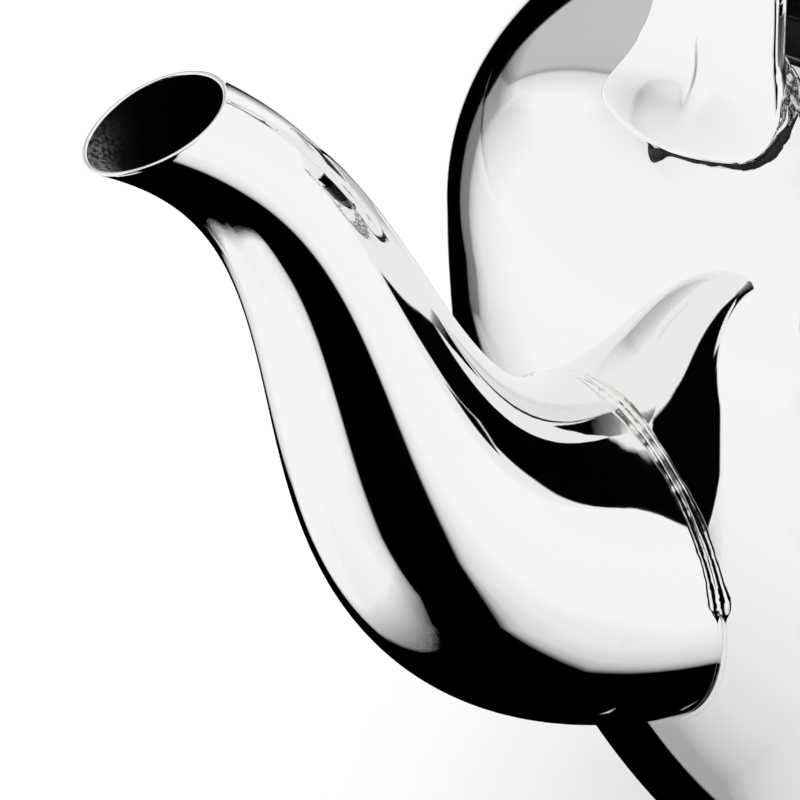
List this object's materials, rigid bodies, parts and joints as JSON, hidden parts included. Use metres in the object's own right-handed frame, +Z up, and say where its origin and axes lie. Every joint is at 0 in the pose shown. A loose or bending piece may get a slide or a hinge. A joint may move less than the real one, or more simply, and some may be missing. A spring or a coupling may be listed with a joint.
{
  "type": "teapot",
  "caption": "Silver teapot with an egg-shaped body on a foot ring, a long curved spout, a domed lift-off lid on a safety chain and an overhead swing handle with a wooden grip.",
  "frame": {"origin": "on the table at the centre of the foot ring, under the pot's axis", "axes": "+Z up along the pot's axis; the spout points to -X; the chain lies on the -Y side"},
  "size_m": [0.1809, 0.124, 0.2112],
  "materials": {
    "silver": "mirror-polished silver",
    "ebonised_wood": "satin black-stained hardwood",
    "fibre": "off-white insulating washer",
    "steel": "plain turned steel"
  },
  "bodies": {
    "pot": {"body_shell": "silver", "strainer": "silver", "base_plate": "silver", "foot_ring": "silver", "spout": "silver", "neck_collar": "silver", "front_ear": "silver", "rear_ear": "silver", "ear_eyelet": "silver", "lid_chain": "silver"},
    "bail": {"front_bail_arm": "silver", "rear_bail_arm": "silver", "front_pivot_pin": "silver", "rear_pivot_pin": "silver", "front_ferrule": "silver", "rear_ferrule": "silver", "front_washer": "fibre", "rear_washer": "fibre", "grip": "ebonised_wood", "grip_rod": "steel", "grip_pins": "silver"},
    "lid": {"lid_dome": "silver", "lid_bezel": "silver", "lid_eyelet": "silver", "finial_collar": "silver", "finial": "ebonised_wood", "finial_stud": "steel", "finial_nut": "steel"}
  },
  "joints": [
    {"name": "bail_swing", "type": "hinge", "parent": "pot", "child": "bail", "pos_m": [0, 0, 0.13659], "axis": [1, 0, 0], "range_deg": [-90, 90]},
    {"name": "lid_lift", "type": "slide", "parent": "pot", "child": "lid", "axis": [0, 0, 1], "range_m": [0, 0.04], "deforming": ["lid_chain"]}
  ]
}
